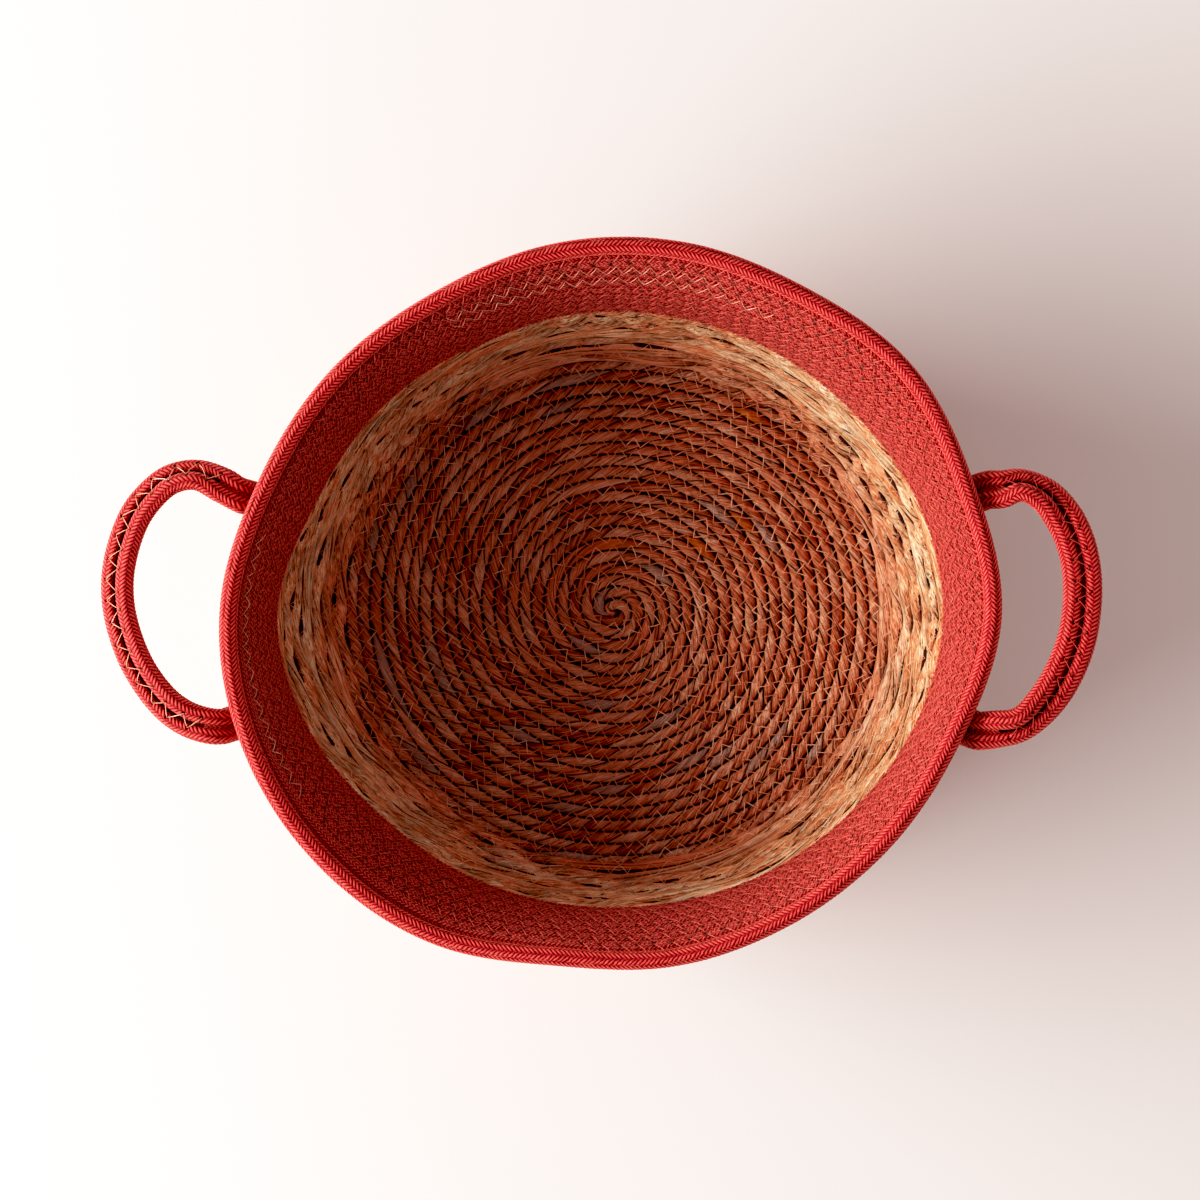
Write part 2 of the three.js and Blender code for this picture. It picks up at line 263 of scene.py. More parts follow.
class Bend:
    """Bends in upright planes, each from the origin past a knee to an end, measured by length."""

    def __init__(self, knee, end):
        self.knee = knee
        self.end = end
        self.t = np.linspace(0, 1, 17)[:, None]
        x, y = self.point(self.t)
        steps = np.hypot(np.diff(x, axis=0), np.diff(y, axis=0))
        self.run = np.concatenate([np.zeros((1, steps.shape[1])), np.cumsum(steps, axis=0)])
        self.length = self.run[-1]

    def point(self, t):
        return tuple(2 * t * (1 - t) * k + t * t * e for k, e in zip(self.knee, self.end))

    def at(self, share):
        goal = np.clip(share, 0, 1) * self.length
        i = np.clip((self.run < goal).sum(axis=0) - 1, 0, len(self.run) - 2)
        low = np.take_along_axis(self.run, i[None], 0)[0]
        high = np.take_along_axis(self.run, i[None] + 1, 0)[0]
        return self.point((i + (goal - low) / (high - low)) / (len(self.run) - 1))


def basket_place(angle, row):
    """Where a row of the basket's coils passes an angle: rows below 0 lie in the base."""
    half_y = base_rows * straw_pitch
    edge = 1 / np.hypot(np.cos(angle) / (half_y * base_stretch), np.sin(angle) / half_y)
    flare = outline_at(wall_flare, angle)
    rise = np.full_like(flare, wall_rise)
    wall = Bend((flare * (0.5 + wall_belly), rise * (0.5 - wall_belly)), (flare, rise))
    join = join_pitch / wall.length
    straw = np.clip(row, 0, wall_rows) / wall_rows * (1 - join)
    wall_out, wall_up = wall.at(straw + np.clip(row - wall_rows, 0, 1) * join)

    reach = outline_at(band_flare, angle)
    climb = np.sqrt(band_length**2 - reach**2)
    band = Bend((reach * (0.5 - band_belly), climb * (0.5 + band_lift)), (reach, climb))
    above = np.maximum(row - first_cotton_row, 0)
    last = np.maximum(above - band_rows + 1, 0)
    share = ((above - last) * cotton_pitch + last * cotton_diameter) / band_length
    band_out, band_up = band.at(share)

    out = edge * (1 + np.minimum(row, 0) / base_rows) + wall_out + band_out
    up = base_height + wall_up + band_up
    return np.stack([base_centre[0] + out * np.cos(angle), base_centre[1] + out * np.sin(angle), up], axis=-1)


def row_after(turns):
    """Row that the coil lies in: each turn stays level, then climbs to the next row."""
    whole = np.floor(turns)
    return whole + smooth((turns - whole - 1 + climb_share) / climb_share)


class Route:
    """Evenly spaced places along a rope, its directions along, across and inwards, and its width:
    the length of the sideways steps that it is given."""

    def __init__(self, place, across, spacing, turns=None):
        run = np.concatenate([[0], np.cumsum(np.linalg.norm(np.diff(place, axis=0), axis=1))])
        self.run = np.linspace(0, run[-1], max(2, round(run[-1] / spacing)) + 1)
        self.turns = None if turns is None else np.interp(self.run, run, turns)
        self.place, across = (self.spread(run, values) for values in (place, across))
        self.width = np.linalg.norm(across, axis=1)
        self.along = unit(np.gradient(self.place, axis=0))
        self.inward = unit(np.cross(self.along, across))
        self.across = np.cross(self.inward, self.along)

    def spread(self, run, values):
        return np.stack([np.interp(self.run, run, v) for v in values.T], axis=1)

    def at(self, i, across, inward):
        return self.place[i] + across[:, None] * self.across[i] + inward[:, None] * self.inward[i]


def coil_route(start, end, spacing, above=0.0, row_of=row_after):
    """The coil's route between two counts of turns, or a line that runs a share of a row above it."""
    steps_a_turn = 240
    turns = np.linspace(start, end, int((end - start) * steps_a_turn) + 2)
    angle = start_angle - 2 * pi * turns
    row = row_of(turns) + above
    across = basket_place(angle, row + 0.5) - basket_place(angle, row - 0.5)
    return Route(basket_place(angle, row), across, spacing, turns)


def wander(run, stride, seed):
    """Smooth chance values from -1 to 1 that change about once in each stride."""
    place = run / stride
    i = np.floor(place).astype(int)
    chance = np.random.default_rng(seed).uniform(-1, 1, i.max() + 3)
    t = smooth(place - i)
    return chance[i] * (1 - t) + chance[i + 1] * t


def rolled_tubes(name, tubes, steps, sides, shape):
    """Closed tubes, each rolled up from a flat grid. The shape function gets each point's count
    along its tube, round it and of the tubes. It gives places and one or two UV patterns."""
    sheet = bmesh.new()
    for k in range(tubes):
        flat = Matrix.Translation((0.5, 0.5, k))
        bmesh.ops.create_grid(sheet, x_segments=steps, y_segments=sides, size=0.5, matrix=flat)
    mesh = bpy.data.meshes.new(name)
    sheet.to_mesh(mesh)
    sheet.free()
    counts = np.empty(len(mesh.vertices) * 3, np.float32)
    mesh.vertices.foreach_get("co", counts)
    i, j, k = np.rint(counts.reshape(-1, 3) * (steps, sides, 1)).astype(int).T
    place, patterns = shape(i, j, k)
    mesh.vertices.foreach_set("co", place.astype(np.float32).ravel())
    corners = np.empty(len(mesh.loops), np.int32)
    mesh.loops.foreach_get("vertex_index", corners)
    for layer, pattern in zip(("UVMap", "depth"), patterns):
        values = np.stack(pattern, axis=1)[corners].astype(np.float32)
        mesh.uv_layers.new(name=layer).uv.foreach_set("vector", values.ravel())

    tube = bmesh.new()
    tube.from_mesh(mesh)
    bmesh.ops.remove_doubles(tube, verts=tube.verts, dist=1e-7)
    bmesh.ops.holes_fill(tube, edges=[edge for edge in tube.edges if edge.is_boundary], sides=sides)
    bmesh.ops.recalc_face_normals(tube, faces=tube.faces)
    tube.to_mesh(mesh)
    tube.free()
    mesh.shade_smooth()
    piece = bpy.data.objects.new(name, mesh)
    bpy.context.scene.collection.objects.link(piece)
    return piece


def dress(piece, finish, slot, body, *nodes, bend=None):
    """Gives a piece its finish, hides the CAD nodes that it replaces and hangs it on the body it rides on,
    or, where bend is given, only bakes its place into its mesh; the places in bend and the slot are not used."""
    piece.data.materials.append(finish)
    if nodes:
        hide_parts(*nodes)
    if bend:
        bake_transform(piece)
    else:
        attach(piece, body)


def straw_strand(name, route, k, lay, offset, thick, wide, folds, fold_depth, seed):
    """One of two flat leafy strands that twist round each other, with sharp folds along it. Both
    share the rope's twist and sway. Each has its own swelling, and patterns for twist and depth."""
    run = route.run
    sides = 16
    twist = run / lay + 0.8 * wander(run, 100 * mm, seed)
    sway = 0.3 * mm * wander(run, 33 * mm, seed + 1)
    own_seed = seed + 10 * k
    swell = 1 + 0.15 * wander(run, 12 * mm, own_seed + 2)
    spread = 1 + 0.16 * wander(run, 17 * mm, own_seed + 3)
    fold = 1.6 * wander(run, 26 * mm, own_seed + 4)

    def shape(i, j, tube):
        turn = -2 * pi * j / sides
        lobe = 1 - fold_depth + fold_depth * np.abs(np.sin(folds * turn / 2 + fold[i]))
        away = offset + thick * swell[i] * lobe * np.cos(turn)
        aside = wide * spread[i] * lobe * np.sin(turn)
        lag = 2 * pi * (k / 2 - twist[i])
        across = away * np.cos(lag) - aside * np.sin(lag) + sway[i]
        inward = away * np.sin(lag) + aside * np.cos(lag)
        place = route.at(i, across * route.width[i] / straw_pitch, inward)
        place[:, 2] = np.maximum(place[:, 2], 0.0)
        return place, [(twist[i], j / sides + 2 * k), (np.abs(across), np.abs(inward))]

    return rolled_tubes(name, 1, len(run) - 1, sides, shape)


def straw_core(name, route):
    """The rope's inner leaves: a plain flat filling that closes the gaps between its strands. Its finish is
    near black, painted shade for the gaps.
    """
    sides = 8
    half_wide = 0.54
    half_thick = 2.0 * mm
    lowest = 0.1 * mm

    def shape(i, j, tube):
        turn = -2 * pi * j / sides
        place = route.at(i, half_wide * route.width[i] * np.cos(turn), half_thick * np.sin(turn))
        place[:, 2] = np.maximum(place[:, 2], lowest)
        return place, [(route.run[i], turn)]

    return rolled_tubes(name, 1, len(route.run) - 1, sides, shape)


def straw_finish(name, lay, grain, stretch, patch, slots, groove, painted_shade, tones, foot=None):
    """Dry maize leaf: each visible length has its own tone and streaks run along it. Painted shade darkens it
    in the grooves between the rows, where it folds under, and in small slots between its fibres.
    Where tones for its foot are given, it fades from them to its own tones as it rises, or else
    a few lengths are greyed or bright orange."""
    finish, twist, around = new_finish(name)

    # Round the second strand the pattern counts on from 2. A length ends where it folds under.
    strand = (around * 0.5 + 0.01).floor()
    leaf = (twist - strand * 0.5 + 0.75).floor()
    spot = twist.node("CombineXYZ", {}, {0: leaf, 1: strand})
    chance = twist.node("TexWhiteNoise", {"noise_dimensions": "2D"}, {"Vector": spot})
    length = twist * (lay / mm)
    streak = twist.noise(length * stretch, around * grain, chance * 9, 3.0)
    fibre = twist.noise(length * 0.2, around * 60, chance * 5)
    blotch = twist.noise(length * 0.07, around * 2.5, chance * 7)
    slot = twist.noise(length * 0.16, around * 21, chance * 3).step(*slots)
    tone = (chance - 0.5) * patch + streak * 2.4 + blotch * 0.6 - 1.0
    stops = 0.05, 0.36, 0.62, 0.92
    dark = tones[0]
    colour = tone.ramp(list(zip(stops, tones)))
    if foot:
        height = twist.node("SeparateXYZ", {}, {0: twist.node("TexCoord", take=3)}).other("Z")
        risen = height.step(6 * mm, 26 * mm)
        colour = risen.mix(tone.ramp(list(zip(stops, foot))), colour)
        dark = risen.mix(foot[0], dark)
    else:
        greyed = tone.ramp([(0.1, (0.20, 0.10, 0.07)), (0.9, (0.70, 0.46, 0.36))])
        orange = tone.ramp([(0.0, (0.60, 0.12, 0.02)), (0.7, (1.0, 0.34, 0.08))])
        colour = chance.step(0.96, 0.965).mix(colour, greyed)
        colour = (1 - chance.step(0.015, 0.02)).mix(colour, orange)
    colour = fibre.step(0.25, 0.5).mix(dark, colour)
    depth = twist.node("UVMap", {"uv_map": "depth"})
    aside = twist.node("SeparateXYZ", {}, {0: depth}) * (1 / mm)
    # Painted shade: near black in the groove between rows, where a strand folds under, and in the slots.
    open_side = (1 - aside.step(*groove)) * (1 - around.ridge().step(0.54, 0.68)) * (1 - slot)
    colour = open_side.mix(painted_shade, colour)
    relief = streak * 0.8 + fibre * 0.3 - slot * 0.5
    surface = {"Roughness": 0.42, "Specular IOR Level": 0.5, "Specular Tint": (1, 0.62, 0.42, 1)}
    close_finish(colour, surface, relief, 1.8 * mm)
    return finish


base_lay = 30.5 * mm
base_route = coil_route(-20.2, 1.0, 2.1 * mm)
base_tones = (0.30, 0.058, 0.027), (0.80, 0.22, 0.105), (0.98, 0.40, 0.215), (1.0, 0.62, 0.42)
base_straw = straw_finish(
    "base_straw", base_lay, grain=26, stretch=0.06, patch=0.55, slots=(0.66, 0.72),
    groove=(2.15, 2.7), painted_shade=(0.02, 0.003, 0.001), tones=base_tones,
)
# The core's finish is near black: painted shade standing for the dark between the strands.
inner_straw_painted_shade = bpy.data.materials.new("inner_straw_painted_shade")
wire = cleared(inner_straw_painted_shade)
crumple = wire.node("TexNoise", {}, {"Vector": wire.node("TexCoord", take=3), "Scale": 400.0})
close_finish(crumple.mix((0.01, 0.002, 0.001), (0.06, 0.011, 0.005)), {"Roughness": 0.9})
dress(straw_core("straw_base_core", base_route), inner_straw_painted_shade, "straw_base", "basket")
for k, nodes in ((0, ["straw_base_coil"]), (1, [])):
    strand = straw_strand(
        f"straw_base_strand_{k + 1}", base_route, k, base_lay, offset=1.0 * mm, thick=2.1 * mm,
        wide=2.95 * mm, folds=5, fold_depth=0.17, seed=11,
    )
    dress(strand, base_straw, "straw_base", "basket", *nodes)


# Sewing of the straw: a single thread runs in zigzags over the groove between each turn and the
# next, inside and outside, and dips into the straw at each bend.
stitch_half = 4.1 * mm
straw_reach = 2.7 * mm
straw_seat = 3.95 * mm


class Zigzag:
    """A thread's line that crosses a route from side to side, and the places of its bends. It lies
    a lift above the route's middle and dips by its sink at each bend."""

    per_stroke = 3

    def __init__(self, route, reach, lift, sink, seed, half_pitch=stitch_half):
        strokes = int(route.run[-1] / half_pitch)
        count = np.arange(strokes * self.per_stroke + 1) / self.per_stroke
        chance = np.random.default_rng(seed)
        jitter = chance.uniform(-0.2, 0.2, strokes + 2)
        to_and_fro = np.where(np.arange(strokes + 2) % 2, -1, 1)
        sway = chance.uniform(0.8, 1.15, strokes + 2) * reach * to_and_fro
        whole = np.floor(count).astype(int)
        part = count - whole
        run = (count + jitter[whole] * (1 - part) + jitter[whole + 1] * part) * half_pitch
        aside = sway[whole] * (1 - part) + sway[whole + 1] * part
        height = lift - sink * (part == 0)
        across, inward, place = (
            np.stack([np.interp(run, route.run, v) for v in values.T], axis=1)
            for values in (route.across, route.inward, route.place)
        )
        self.place = place + aside[:, None] * across + height[:, None] * inward
        self.bends = self.place[:: self.per_stroke]
        along = unit(np.gradient(self.place, axis=0))
        self.inward = inward
        self.side = unit(np.cross(along, inward))
        self.run = run

    def thread(self, name, radius, sides=4):
        def shape(i, j, tube):
            turn = -2 * pi * j[:, None] / sides
            outward = np.cos(turn) * self.side[i] + np.sin(turn) * self.inward[i]
            return self.place[i] + radius * outward, [(self.run[i], j / sides)]

        return rolled_tubes(name, 1, len(self.run) - 1, sides, shape)


def thread_finish(name, shade, colour, pale, pale_share):
    """Spun thread: a slanting twist, lighter on its plies with painted shade between them, paler where it is
    worn.
    """
    finish, along, around = new_finish(name)
    ply = (along * 1400 + around * 2).ridge()
    worn = along.noise(along * 60)
    spun = (ply * 0.6 + worn * 0.5).mix(shade, colour)
    colour = worn.step(0.75 - pale_share, 0.85 - pale_share).mix(spun, pale)
    close_finish(colour, {"Roughness": 0.6, "Specular IOR Level": 0.3}, ply, 0.1 * mm)
    return finish


tan_thread = thread_finish(
    "tan_thread", shade=(0.62, 0.20, 0.10), colour=(1.0, 0.46, 0.26), pale=(1.0, 0.64, 0.43), pale_share=0.25
)
base_seam_route = coil_route(-20.0, 0.3, 2 * mm, above=0.5)
base_seam = Zigzag(base_seam_route, straw_reach, straw_seat, sink=0.2 * mm, seed=21)
dress(base_seam.thread("straw_base_seam", 0.24 * mm), tan_thread, "thread", "basket")


# Straw wall: the same rope goes on round the edge of the base and climbs in seven rows, leaning
# outwards most on the left. Its strands lie wider and flatter, so that the rows close to a mat.
wall_lay = 80 * mm
wall_route = coil_route(1.0, 8.0, 2.2 * mm)
wall_tones = (0.56, 0.155, 0.062), (0.92, 0.35, 0.16), (1.0, 0.68, 0.38), (1.0, 0.92, 0.68)
wall_straw = straw_finish(
    "wall_straw", wall_lay, grain=38, stretch=0.15, patch=0.35, slots=(0.63, 0.70),
    groove=(3.0, 3.8), painted_shade=(0.06, 0.012, 0.006), tones=wall_tones, foot=base_tones,
)
dress(straw_core("straw_wall_core", wall_route), inner_straw_painted_shade, "straw_wall", "basket")
for k, nodes in ((0, ["straw_wall_coil"]), (1, [])):
    strand = straw_strand(
        f"straw_wall_strand_{k + 1}", wall_route, k, wall_lay, offset=0.6 * mm, thick=1.8 * mm,
        wide=3.85 * mm, folds=8, fold_depth=0.08, seed=31,
    )
    dress(strand, wall_straw, "straw_wall", "basket", *nodes)
wall_seam_route = coil_route(0.3, 7.4, 2 * mm, above=0.5)
for face, way, seed in (("inner", 1, 41), ("outer", -1, 43)):
    seam = Zigzag(wall_seam_route, straw_reach, way * straw_seat, sink=way * 0.9 * mm, seed=seed)
    dress(seam.thread(f"straw_wall_{face}_seam", 0.2 * mm), tan_thread, "thread", "basket")


# Loose straw: split fibres that the twisting left free. Each lies along its row and lifts off a
# little at one end, most of them on the wall and where it meets the base.
fibre_count = 170
fibre_steps = 5
fibre_sides = 3
end_clear = 40
chance = np.random.default_rng(51)
straw_route = coil_route(-3.0, 7.8, 2 * mm)
fibre_start = chance.integers(0, len(straw_route.run) - end_clear, fibre_count)
fibre_reach = chance.uniform(6, 26, fibre_count)
fibre_aside = chance.uniform(-2.8, 2.8, fibre_count) * mm
fibre_drift = chance.normal(0, 1.8, fibre_count) * mm
fibre_lift = chance.uniform(0.1, 1.0, fibre_count) ** 3 * 3 * mm
fibre_seat = 2.9 * mm
fibre_half = 0.2 * mm


def fibre_shape(i, j, k):
    share = i / fibre_steps
    at = (fibre_start[k] + fibre_reach[k] * share / 2).astype(int)
    turn = -2 * pi * j / fibre_sides
    half = fibre_half * (1.15 - share)
    across = fibre_aside[k] + fibre_drift[k] * share**2 + half * np.cos(turn)
    inward = fibre_seat + fibre_lift[k] * share**2 + half * np.sin(turn)
    return straw_route.at(at, across, inward), [(share * 10 + k, turn)]


fibre_finish = thread_finish(
    "loose_straw", shade=(0.50, 0.17, 0.07), colour=(0.88, 0.48, 0.25), pale=(0.95, 0.7, 0.45), pale_share=0.3
)
loose_straw = rolled_tubes("loose_straw", fibre_count, fibre_steps, fibre_sides, fibre_shape)
dress(loose_straw, fibre_finish, "straw_wall", "basket")


# Cotton band: an 8 mm braided red rope sewn in eight tight rows onto the straw. The rows are
# pressed together into one thick cloth, zigzag thread crosses every seam, and each stitch leaves
# a small pit.
band_half = 4.1 * mm
band_thick = 3.6 * mm
band_press = 3.2
band_reach = 3.5 * mm
band_lay = 2.1 * mm
band_columns = 16
band_slant = 0.9
column_shift = 0.37
last_climb = rim_row - climb_share
thinned_away = 0.44
top_overlap = 0.55 * mm
pit_size = 1.5 * mm
pit_depth = 1.1 * mm
pit_search = 6 * mm


def band_row(turns):
    """Rows of the band's rope: in its last climb it lies halfway between the row below and the rim."""
    row = row_after(turns)
    return np.where(turns > last_climb, (row + rim_row - 1) / 2, row)


def braid(name, route, sides, half, thick, press, pitch, columns, slant, depth, pits=(), thin=None):
    """A braided rope: its plaits stand out as ridges that lean to and fro in columns. It is round
    where press is 2 and squarer above that, and thin is its share of full height along the route."""
    run = route.run
    turn_of = np.array(sides)
    count = len(turn_of) - 1

    def shape(i, j, tube):
        turn = turn_of[j]
        just_over = 1e-6
        columned = turn / (2 * pi) * columns
        column = np.floor(columned + just_over)
        across = columned - column
        lean = 1 - 2 * (column % 2)
        phase = run[i] / pitch + lean * (across - 0.5) * slant + column * column_shift
        plait = 1 - np.abs(2 * (phase % 1) - 1)
        edge = 1 - np.abs(2 * across - 1)
        relief = 1 + depth / half * (smooth(plait * 1.25) * (0.45 + 0.55 * smooth(edge * 1.6)) - 0.7)
        c, s = np.cos(turn), np.sin(turn)
        relief = relief * (np.abs(c) ** press + np.abs(s) ** press) ** (-1 / press)
        relief = relief * (1 + 0.012 * wander(run[i], 11 * mm, len(run)))
        height = half if thin is None else half * thin[i]
        place = route.at(i, height * relief * c, thick * relief * s)
        return place, [(run[i], turn / (2 * pi))]

    piece = rolled_tubes(name, 1, len(run) - 1, count, shape)
    if pits:
        press_pits(piece, pits)
    return piece


def press_pits(piece, pits):
    """Presses hollows round lists of places into a piece, each list with its size, and marks them,
    so that the finish paints shade there."""
    mesh = piece.data
    tree = KDTree(len(mesh.vertices))
    for vertex in mesh.vertices:
        tree.insert(vertex.co, vertex.index)
    tree.balance()
    mark = np.zeros(len(mesh.vertices), np.float32)
    for places, size in pits:
        for pit in places:
            for place, index, distance in tree.find_range(pit, size):
                mark[index] = max(mark[index], smooth(1.6 - 1.6 * distance / size))
    normals = np.empty(len(mesh.vertices) * 3, np.float32)
    mesh.vertices.foreach_get("normal", normals)
    place = np.empty_like(normals)
    mesh.vertices.foreach_get("co", place)
    place = place.reshape(-1, 3) - normals.reshape(-1, 3) * mark[:, None] * pit_depth
    mesh.vertices.foreach_set("co", place.ravel())
    mesh.attributes.new("pit", "FLOAT", "POINT").data.foreach_set("value", mark)
    mesh.update()


def cotton_finish(name, pitch, columns, slant, depth, painted_shade, middle, bright):
    """Braided cotton: columns of short slanting plaits, fuzzy, with painted shade in deep red where they meet
    and painted highlight on their crests.
    """
    finish, along, around = new_finish(name)
    blur = along.noise(along * 420, around * 20)
    columned = around * columns + (blur - 0.5) * 0.35
    column = columned.floor()
    across = columned.part()
    lean = 1 - (column * 0.5).part() * 4
    phase = along * (1 / pitch) + lean * (across - 0.5) * slant + column * column_shift + (blur - 0.5) * 0.5
    plait = phase.ridge()
    edge = columned.ridge()
    height = plait * 1.25 * (edge * 0.6 + 0.5)
    fuzz = along.noise(along * 2600, around * 95, blur, 3.0)
    blotch = along.noise(along * 130, around * 6)
    # Painted shade and highlight: the tone follows the plaits' relief, dark where they meet and light on
    # their crests; fuzz and blotches vary it at random.
    tone = height * 1.3 + fuzz * 1.0 + blotch * 0.4 - 0.92
    colour = tone.ramp([(0.0, painted_shade), (0.5, middle), (1.0, bright)])
    # Painted shade: the pressed pits, and on the handles the groove along the seam, are darkened to near
    # black.
    pit = along.node("Attribute", {"attribute_name": "pit"}, {}, take=2)
    colour = pit.mix(colour, (0.02, 0.001, 0.001))
    surface = {
        "Roughness": 0.6, "Specular IOR Level": 0.3, "Specular Tint": (1, 0.3, 0.25, 1),
        "Sheen Weight": 0.5, "Sheen Roughness": 0.4, "Sheen Tint": (1, 0.42, 0.3, 1),
    }
    close_finish(colour, surface, height * 0.6 + fuzz * 0.7, depth)
    return finish


cotton_reds = (0.11, 0.002, 0.008), (0.48, 0.017, 0.024), (0.90, 0.122, 0.10)
band_cotton = cotton_finish("band_cotton", band_lay, band_columns, band_slant, 0.9 * mm, *cotton_reds)
face_sides = np.linspace(pi / 4, 3 * pi / 4, 9)
band_sides = [0, *face_sides, pi, *(face_sides + pi), 2 * pi]
seams = {}
for face, way, seed in (("inner", 1, 61), ("outer", -1, 63)):
    line = coil_route(first_cotton_row, rim_row - 0.4, 2 * mm, above=0.5)
    lift = way * (band_thick + 0.5 * mm)
    seams[face] = Zigzag(line, band_reach, lift, sink=way * 0.5 * mm, seed=seed)
bends = np.concatenate([seam.bends for seam in seams.values()])

# One piece to each row, from the lowest. The last is the rope's thinned end, which closes the wedge
# under the rim: it has no stitches, and the row beside it is as tall, to reach the rim.
ends = [*(first_cotton_row + np.arange(band_rows)), last_climb, rim_row]
for row, (start, end) in enumerate(zip(ends, ends[1:])):
    route = coil_route(start, end, 0.72 * mm, row_of=band_row)
    lowest, highest = route.place[:, 2].min(), route.place[:, 2].max()
    near = bends[(bends[:, 2] > lowest - pit_search) & (bends[:, 2] < highest + pit_search)]
    piece = braid(
        f"band_row_{row + 1}", route, band_sides, band_half + (end > rim_row - 1) * top_overlap,
        band_thick, band_press, band_lay, band_columns, band_slant, depth=0.6 * mm,
        pits=[] if end == rim_row else [(near, pit_size)],
        thin=1 - 2 * (band_row(route.turns) - rim_row + 1).clip(0, thinned_away),
    )
    dress(piece, band_cotton, "band_cotton", "basket", *(["red_band_coil"] if row == 0 else []))
red_thread = thread_finish(
    "red_thread", shade=(0.50, 0.05, 0.045), colour=(0.90, 0.19, 0.14), pale=(0.95, 0.5, 0.4), pale_share=0.12
)
for face, seam in seams.items():
    dress(seam.thread(f"band_{face}_seam", 0.2 * mm), red_thread, "thread", "basket")
pale_thread = thread_finish(
    "pale_thread", shade=(0.75, 0.26, 0.15), colour=(0.98, 0.58, 0.40), pale=(0.98, 0.75, 0.6), pale_share=0.2
)
pale_runs = (14.75, 14.87), (13.0, 13.16), (14.0, 14.14)
for k, (start, end) in enumerate(pale_runs):
    line = coil_route(start, end, 2 * mm, above=0.5)
    stitches = Zigzag(line, reach=2.9 * mm, lift=band_thick + 0.9 * mm, sink=0.3 * mm, seed=65 + k)
    dress(stitches.thread(f"band_pale_stitches_{k + 1}", 0.17 * mm), pale_thread, "thread", "basket")


# Rim: one more round of the same braid, laid on the band's last row and left fully round, so that
# its plaits show as a herringbone along the lip.
rim_lay = 2.05 * mm
rim_columns = 8
rim_slant = 1.5
cotton_half = 4.05 * mm
round_sides = np.linspace(0, 2 * pi, 41)


def rim_level(turns):
    return np.full_like(turns, rim_row)


rim = braid(
    "rim_braid", coil_route(0, 1, 0.5 * mm, row_of=rim_level), round_sides, cotton_half, cotton_half, 2,
    rim_lay, rim_columns, rim_slant, depth=0.45 * mm,
)
rim_cotton = cotton_finish("rim_cotton", rim_lay, rim_columns, rim_slant, 0.3 * mm, *cotton_reds)
dress(rim, rim_cotton, "rim_cotton", "basket", "rim_rope")


# Handles: on each side two pieces of the same rope lie side by side, sewn together with a wide
# zigzag. Their ends run up the band's outside, bend out under the rim and go on into the handle.
hinge_out = 10 * mm
hinge_drop = 6 * mm
bend_out = 7 * mm
bend_drop = 12 * mm
end_rows = 4.5
end_seat = 8.18 * mm
handle_lay = 1.9 * mm
handle_columns = 8
handle_slant = 1.3
seam_lift = 1.7 * mm
seam_groove = 1.25 * mm
stitch_pit = 1.1 * mm
extra_wide = {"outer": 0.15 * mm, "inner": 0.4 * mm}
line_steps = 24
sewn_points = 3
seam_clear = 30

# For each handle: the angles of its roots in degrees, the spacing of its two ropes, and places of
# the line between them. Each place is how far it lies out, along and up from the middle of the
# flexing line, in millimetres, and the degrees that the pair is twisted by there.
handles = {
    "left": (162.5, 196, 7.9 * mm, [
        (7, 56, 2.5, 10), (19.5, 60, 3, 42), (31, 57, 3.5, 40), (40, 48.5, 4, 34),
        (46.2, 38, 4.5, 30), (51, 18, 5, 28), (50.5, 1, 5, 28), (46, -14.5, 5, 28),
        (38.7, -29, 4.5, 28), (26.3, -43.5, 4, 24), (16, -50, 3, 14), (6, -52.5, 2.5, 0),
    ]),
    "right": (18.5, 342, 8.5 * mm, [
        (6, 55, 2.5, 15), (14.5, 57, 3, 40), (25, 53, 3.5, 30), (33.2, 44.5, 4, 10),
        (39.2, 33.5, 4.5, 0), (42.8, 20, 5, 0), (43.7, 5, 5, 0), (42.2, -10, 5, 0),
        (37.6, -25, 4.5, 0), (29.5, -39.5, 4, 12), (18.5, -50.5, 3.5, 30), (7, -53.5, 2.5, 15),
    ]),
}
up = np.array([0, 0, 1.0])


def single_place(angle, row):
    return basket_place(np.array([angle]), np.array([float(row)]))[0]


def outwards(angle):
    return np.array([np.cos(angle), np.sin(angle), 0])


def beside_rim(angle, out, down):
    return single_place(angle, rim_row) + out * outwards(angle) - down * up


def eased_line(points):
    """A smooth line through points that slows down where they are close together."""
    points = np.array(points)
    ring = np.vstack([2 * points[0] - points[1], points, 2 * points[-1] - points[-2]])
    line = []
    for before, here, after, beyond in zip(ring, ring[1:], ring[2:], ring[3:]):
        spans = here - before, after - here, beyond - after
        a, b, c = (np.linalg.norm(span) ** 0.5 for span in spans)
        rise = ((here - before) / a - (after - before) / (a + b) + (after - here) / b) * b
        fall = ((after - here) / b - (beyond - here) / (b + c) + (beyond - after) / c) * b
        t = np.linspace(0, 1, line_steps, endpoint=False)[:, None]
        line.append(
            here + rise * t + (3 * (after - here) - 2 * rise - fall) * t**2
            + (2 * (here - after) + rise + fall) * t**3
        )
    return np.vstack([*line, points[-1:]])


def sewn_end(root, aside):
    """Places of a rope's end: against the band's outside, then round the bend under the rim."""
    across = np.array([-np.sin(root), np.cos(root), 0]) * aside
    against = []
    for row in (rim_row - 1 - end_rows, rim_row - 1 - end_rows / 2):
        here = single_place(root, row)
        slope = unit(here - single_place(root, row - 0.5))
        face = outwards(root) * slope[2] - up * np.dot(slope, outwards(root))
        against.append(here + face * end_seat + across)
    return [*against, beside_rim(root, bend_out, bend_drop) + across]


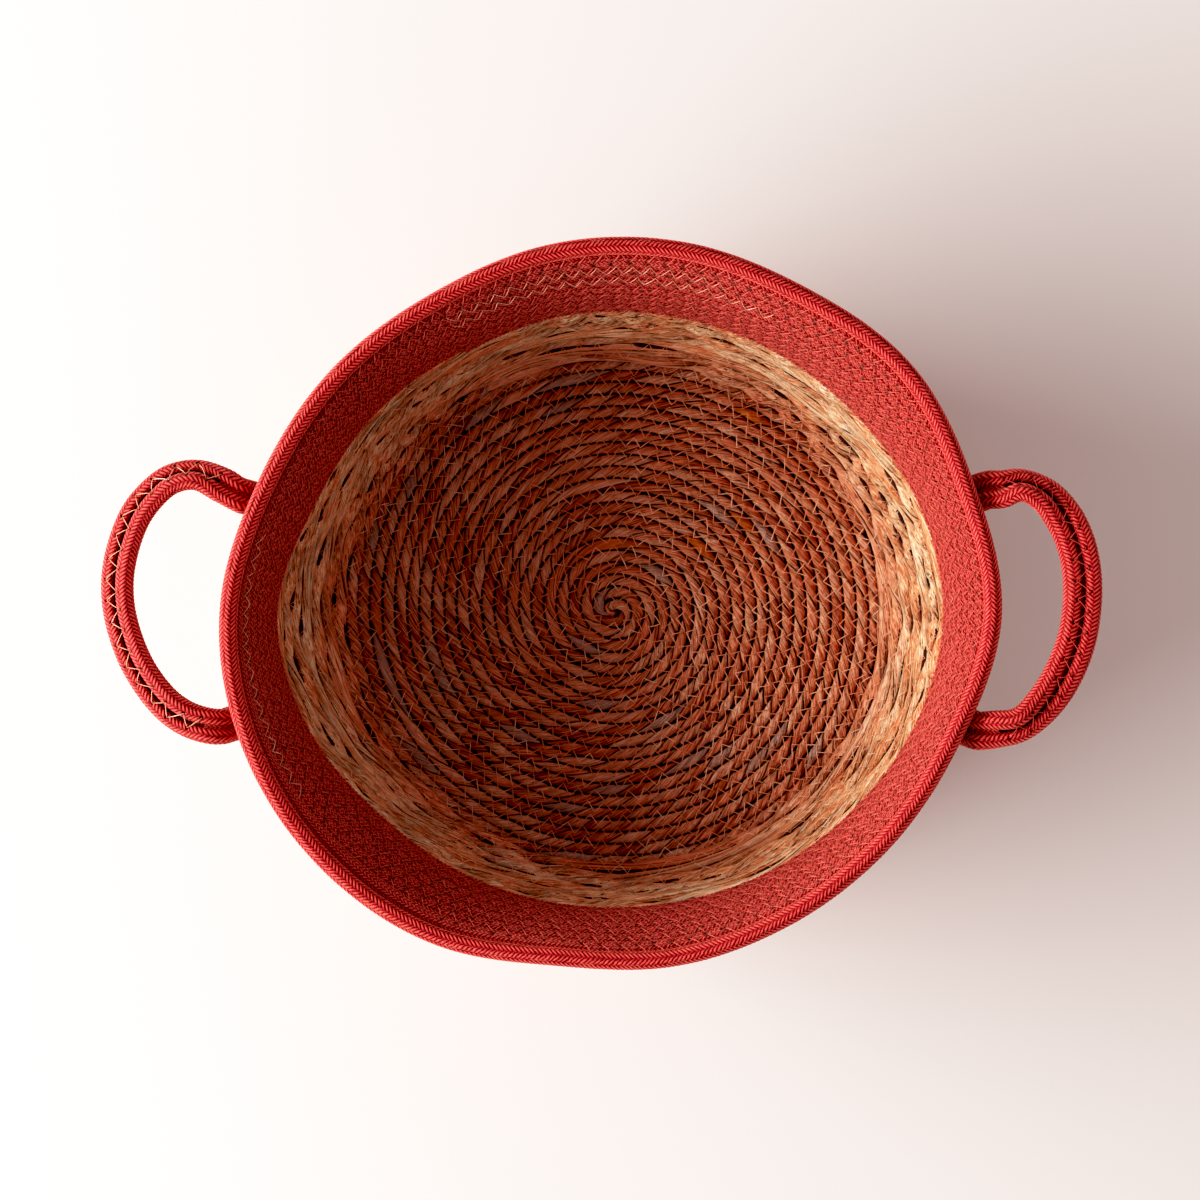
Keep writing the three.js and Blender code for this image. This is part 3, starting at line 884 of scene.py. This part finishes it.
def handle_lines(side):
    """The two ropes' points with their sewn ends, their spacing, the middle of the flexing line
    and the direction out from it."""
    upper_root, lower_root, spacing, route = handles[side]
    upper_root, lower_root = radians(upper_root), radians(lower_root)
    upper = beside_rim(upper_root, hinge_out, hinge_drop)
    lower = beside_rim(lower_root, hinge_out, hinge_drop)
    along = unit(upper - lower)
    centre = (upper + lower) / 2
    out = unit(np.cross(along, up))
    out = out * np.sign(out[0] * centre[0])
    flip = np.sign(np.dot(np.cross(out, up), along))
    free = [centre + (a * out + b * along + c * up) * mm for a, b, c, _ in route]
    points = [upper, *free, lower]
    middle = eased_line(points)
    sides = [along]
    for i, (*_, twist) in enumerate(route, 1):
        tangent = unit(middle[i * line_steps + 1] - middle[i * line_steps - 1])
        level = unit(np.cross(tangent, up)) * flip
        lifted = unit(up - tangent * np.dot(up, tangent))
        sides.append(level * np.cos(radians(twist)) - lifted * np.sin(radians(twist)))
    sides.append(-along)
    turn = -1 if side == "left" else 1
    lines = {}
    for rope, sign in (("outer", 1), ("inner", -1)):
        half = sign * spacing / 2
        first = sewn_end(upper_root, turn * half)
        last = sewn_end(lower_root, -turn * half)
        loop = [point + aside * half for point, aside in zip(points, sides)]
        lines[rope] = [*first, *loop, *reversed(last)]
    return lines, spacing, centre, out


handle_cotton = cotton_finish(
    "handle_cotton", handle_lay, handle_columns, handle_slant, 0.3 * mm, *cotton_reds
)
dark_thread = thread_finish(
    "dark_thread", shade=(0.30, 0.02, 0.02), colour=(0.62, 0.08, 0.06), pale=(0.9, 0.4, 0.3), pale_share=0.1
)
handle_threads = {"left": pale_thread, "right": dark_thread}
for side in handles:
    lines, spacing, centre, out = handle_lines(side)
    body = f"{side}_handle"
    bend = {"start": centre - out * 4 * mm, "end": centre + out * 6 * mm}
    ropes = {rope: eased_line(points) for rope, points in lines.items()}
    apart = ropes["outer"] - ropes["inner"]
    inset = sewn_points * line_steps + seam_clear
    sewn = slice(inset, -inset)
    seam_route = Route((ropes["outer"] + ropes["inner"])[sewn] / 2, apart[sewn], 1 * mm)
    way = np.sign(seam_route.inward[:, 2].mean())
    seam = Zigzag(seam_route, 3.1 * mm, way * 4.1 * mm, way * 0.4 * mm, seed=71, half_pitch=4.7 * mm)
    # A line along the seam's middle, pressed in as a groove and marked for painted shade.
    groove = seam_route.place + way * seam_lift * seam_route.inward
    thread = seam.thread(f"{side}_handle_seam", 0.2 * mm)
    dress(thread, handle_threads[side], "thread", body, f"{body}_thread", bend=bend)
    for rope, line in ropes.items():
        piece = braid(
            f"{side}_{rope}_braid", Route(line, apart, 0.38 * mm), round_sides,
            spacing / 2 + extra_wide[rope], cotton_half, 2, handle_lay, handle_columns, handle_slant,
            depth=0.28 * mm, pits=[(seam.bends, stitch_pit), (groove, seam_groove)],
        )
        nodes = f"{body}_{rope}_rope", f"{side}_{rope}_upper_end", f"{side}_{rope}_lower_end"
        dress(piece, handle_cotton, "handle_cotton", body, *nodes, bend=bend)
